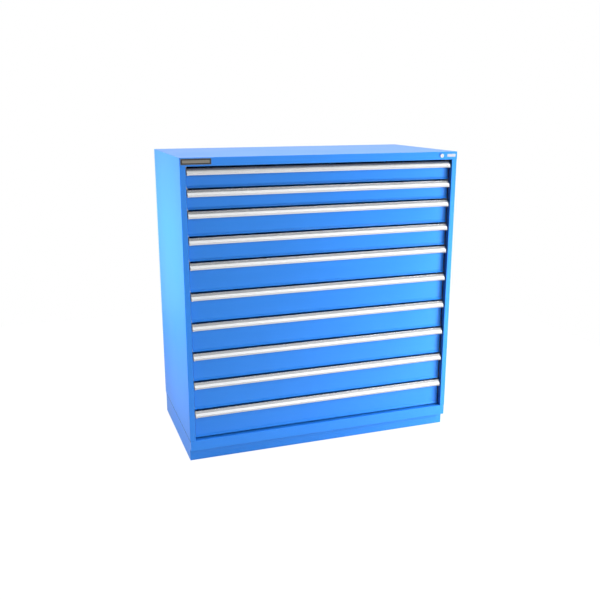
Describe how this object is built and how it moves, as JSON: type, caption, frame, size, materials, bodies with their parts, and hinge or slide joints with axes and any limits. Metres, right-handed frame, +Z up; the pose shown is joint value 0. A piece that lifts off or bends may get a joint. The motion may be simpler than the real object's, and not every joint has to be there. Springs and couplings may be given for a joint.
{
  "type": "drawer cabinet",
  "caption": "Wide free-standing steel cabinet with a stack of full-width drawers on telescopic slides, hooked aluminium handles, a key lock and a recessed base.",
  "frame": {"origin": "on the floor, under the middle of the outer box", "axes": "+X to the right as seen from the drawers' side, +Y to the back, +Z up; drawers pull out along -Y"},
  "size_m": [1.435, 0.73, 1.511],
  "materials": {
    "powder_coat": "satin blue powder coat",
    "aluminium": "clear anodised extrusion",
    "zinc_steel": "bright zinc plate",
    "chrome": "polished plate"
  },
  "bodies": {
    "cabinet": {"side_left": "powder_coat", "side_right": "powder_coat", "top_panel": "powder_coat", "back_panel": "powder_coat", "base_tray": "powder_coat", "base_side_left": "powder_coat", "base_side_right": "powder_coat", "base_rear": "powder_coat", "toe_kick": "powder_coat", "uprights_left": "zinc_steel", "uprights_right": "zinc_steel", "slide_rails_left": "zinc_steel", "slide_rails_right": "zinc_steel", "lock_cylinder": "chrome", "lock_nut": "zinc_steel", "lock_studs": "zinc_steel"},
    "lock_core": {"lock_plug": "chrome", "lock_cam": "zinc_steel"},
    "lock_slider": {"lock_bar": "zinc_steel", "lock_link": "zinc_steel"},
    "drawer_01": {"drawer_01_front": "powder_coat", "drawer_01_handle": "aluminium", "drawer_01_box": "powder_coat"},
    "carriage_01": {"drawer_01_carriages": "zinc_steel"},
    "drawer_02": {"drawer_02_front": "powder_coat", "drawer_02_handle": "aluminium", "drawer_02_box": "powder_coat"},
    "carriage_02": {"drawer_02_carriages": "zinc_steel"},
    "drawer_03": {"drawer_03_front": "powder_coat", "drawer_03_handle": "aluminium", "drawer_03_box": "powder_coat"},
    "carriage_03": {"drawer_03_carriages": "zinc_steel"},
    "drawer_04": {"drawer_04_front": "powder_coat", "drawer_04_handle": "aluminium", "drawer_04_box": "powder_coat"},
    "carriage_04": {"drawer_04_carriages": "zinc_steel"},
    "drawer_05": {"drawer_05_front": "powder_coat", "drawer_05_handle": "aluminium", "drawer_05_box": "powder_coat"},
    "carriage_05": {"drawer_05_carriages": "zinc_steel"},
    "drawer_06": {"drawer_06_front": "powder_coat", "drawer_06_handle": "aluminium", "drawer_06_box": "powder_coat"},
    "carriage_06": {"drawer_06_carriages": "zinc_steel"},
    "drawer_07": {"drawer_07_front": "powder_coat", "drawer_07_handle": "aluminium", "drawer_07_box": "powder_coat"},
    "carriage_07": {"drawer_07_carriages": "zinc_steel"},
    "drawer_08": {"drawer_08_front": "powder_coat", "drawer_08_handle": "aluminium", "drawer_08_box": "powder_coat"},
    "carriage_08": {"drawer_08_carriages": "zinc_steel"},
    "drawer_09": {"drawer_09_front": "powder_coat", "drawer_09_handle": "aluminium", "drawer_09_box": "powder_coat"},
    "carriage_09": {"drawer_09_carriages": "zinc_steel"},
    "drawer_10": {"drawer_10_front": "powder_coat", "drawer_10_handle": "aluminium", "drawer_10_box": "powder_coat"},
    "carriage_10": {"drawer_10_carriages": "zinc_steel"}
  },
  "joints": [
    {"name": "lock_turn", "type": "hinge", "parent": "cabinet", "child": "lock_core", "pos_m": [0.628, -0.359, 1.491], "axis": [0, 1, 0], "range_deg": [0, 90]},
    {"name": "lock_bar_slide", "type": "slide", "parent": "cabinet", "child": "lock_slider", "axis": [-1, 0, 0], "range_m": [0, 0.009]},
    {"name": "drawer_01_slide", "type": "slide", "parent": "cabinet", "child": "drawer_01", "axis": [0, -1, 0], "range_m": [0, 0.62]},
    {"name": "carriage_01_slide", "type": "slide", "parent": "cabinet", "child": "carriage_01", "axis": [0, -1, 0], "range_m": [0, 0.31]},
    {"name": "drawer_02_slide", "type": "slide", "parent": "cabinet", "child": "drawer_02", "axis": [0, -1, 0], "range_m": [0, 0.62]},
    {"name": "carriage_02_slide", "type": "slide", "parent": "cabinet", "child": "carriage_02", "axis": [0, -1, 0], "range_m": [0, 0.31]},
    {"name": "drawer_03_slide", "type": "slide", "parent": "cabinet", "child": "drawer_03", "axis": [0, -1, 0], "range_m": [0, 0.62]},
    {"name": "carriage_03_slide", "type": "slide", "parent": "cabinet", "child": "carriage_03", "axis": [0, -1, 0], "range_m": [0, 0.31]},
    {"name": "drawer_04_slide", "type": "slide", "parent": "cabinet", "child": "drawer_04", "axis": [0, -1, 0], "range_m": [0, 0.62]},
    {"name": "carriage_04_slide", "type": "slide", "parent": "cabinet", "child": "carriage_04", "axis": [0, -1, 0], "range_m": [0, 0.31]},
    {"name": "drawer_05_slide", "type": "slide", "parent": "cabinet", "child": "drawer_05", "axis": [0, -1, 0], "range_m": [0, 0.62]},
    {"name": "carriage_05_slide", "type": "slide", "parent": "cabinet", "child": "carriage_05", "axis": [0, -1, 0], "range_m": [0, 0.31]},
    {"name": "drawer_06_slide", "type": "slide", "parent": "cabinet", "child": "drawer_06", "axis": [0, -1, 0], "range_m": [0, 0.62]},
    {"name": "carriage_06_slide", "type": "slide", "parent": "cabinet", "child": "carriage_06", "axis": [0, -1, 0], "range_m": [0, 0.31]},
    {"name": "drawer_07_slide", "type": "slide", "parent": "cabinet", "child": "drawer_07", "axis": [0, -1, 0], "range_m": [0, 0.62]},
    {"name": "carriage_07_slide", "type": "slide", "parent": "cabinet", "child": "carriage_07", "axis": [0, -1, 0], "range_m": [0, 0.31]},
    {"name": "drawer_08_slide", "type": "slide", "parent": "cabinet", "child": "drawer_08", "axis": [0, -1, 0], "range_m": [0, 0.62]},
    {"name": "carriage_08_slide", "type": "slide", "parent": "cabinet", "child": "carriage_08", "axis": [0, -1, 0], "range_m": [0, 0.31]},
    {"name": "drawer_09_slide", "type": "slide", "parent": "cabinet", "child": "drawer_09", "axis": [0, -1, 0], "range_m": [0, 0.62]},
    {"name": "carriage_09_slide", "type": "slide", "parent": "cabinet", "child": "carriage_09", "axis": [0, -1, 0], "range_m": [0, 0.31]},
    {"name": "drawer_10_slide", "type": "slide", "parent": "cabinet", "child": "drawer_10", "axis": [0, -1, 0], "range_m": [0, 0.62]},
    {"name": "carriage_10_slide", "type": "slide", "parent": "cabinet", "child": "carriage_10", "axis": [0, -1, 0], "range_m": [0, 0.31]}
  ],
  "couplings": [
    {"joint": "lock_turn", "follows": "lock_bar_slide", "rad_per_m": 174.53},
    {"joint": "carriage_01_slide", "follows": "drawer_01_slide", "ratio": 0.5},
    {"joint": "carriage_02_slide", "follows": "drawer_02_slide", "ratio": 0.5},
    {"joint": "carriage_03_slide", "follows": "drawer_03_slide", "ratio": 0.5},
    {"joint": "carriage_04_slide", "follows": "drawer_04_slide", "ratio": 0.5},
    {"joint": "carriage_05_slide", "follows": "drawer_05_slide", "ratio": 0.5},
    {"joint": "carriage_06_slide", "follows": "drawer_06_slide", "ratio": 0.5},
    {"joint": "carriage_07_slide", "follows": "drawer_07_slide", "ratio": 0.5},
    {"joint": "carriage_08_slide", "follows": "drawer_08_slide", "ratio": 0.5},
    {"joint": "carriage_09_slide", "follows": "drawer_09_slide", "ratio": 0.5},
    {"joint": "carriage_10_slide", "follows": "drawer_10_slide", "ratio": 0.5}
  ]
}
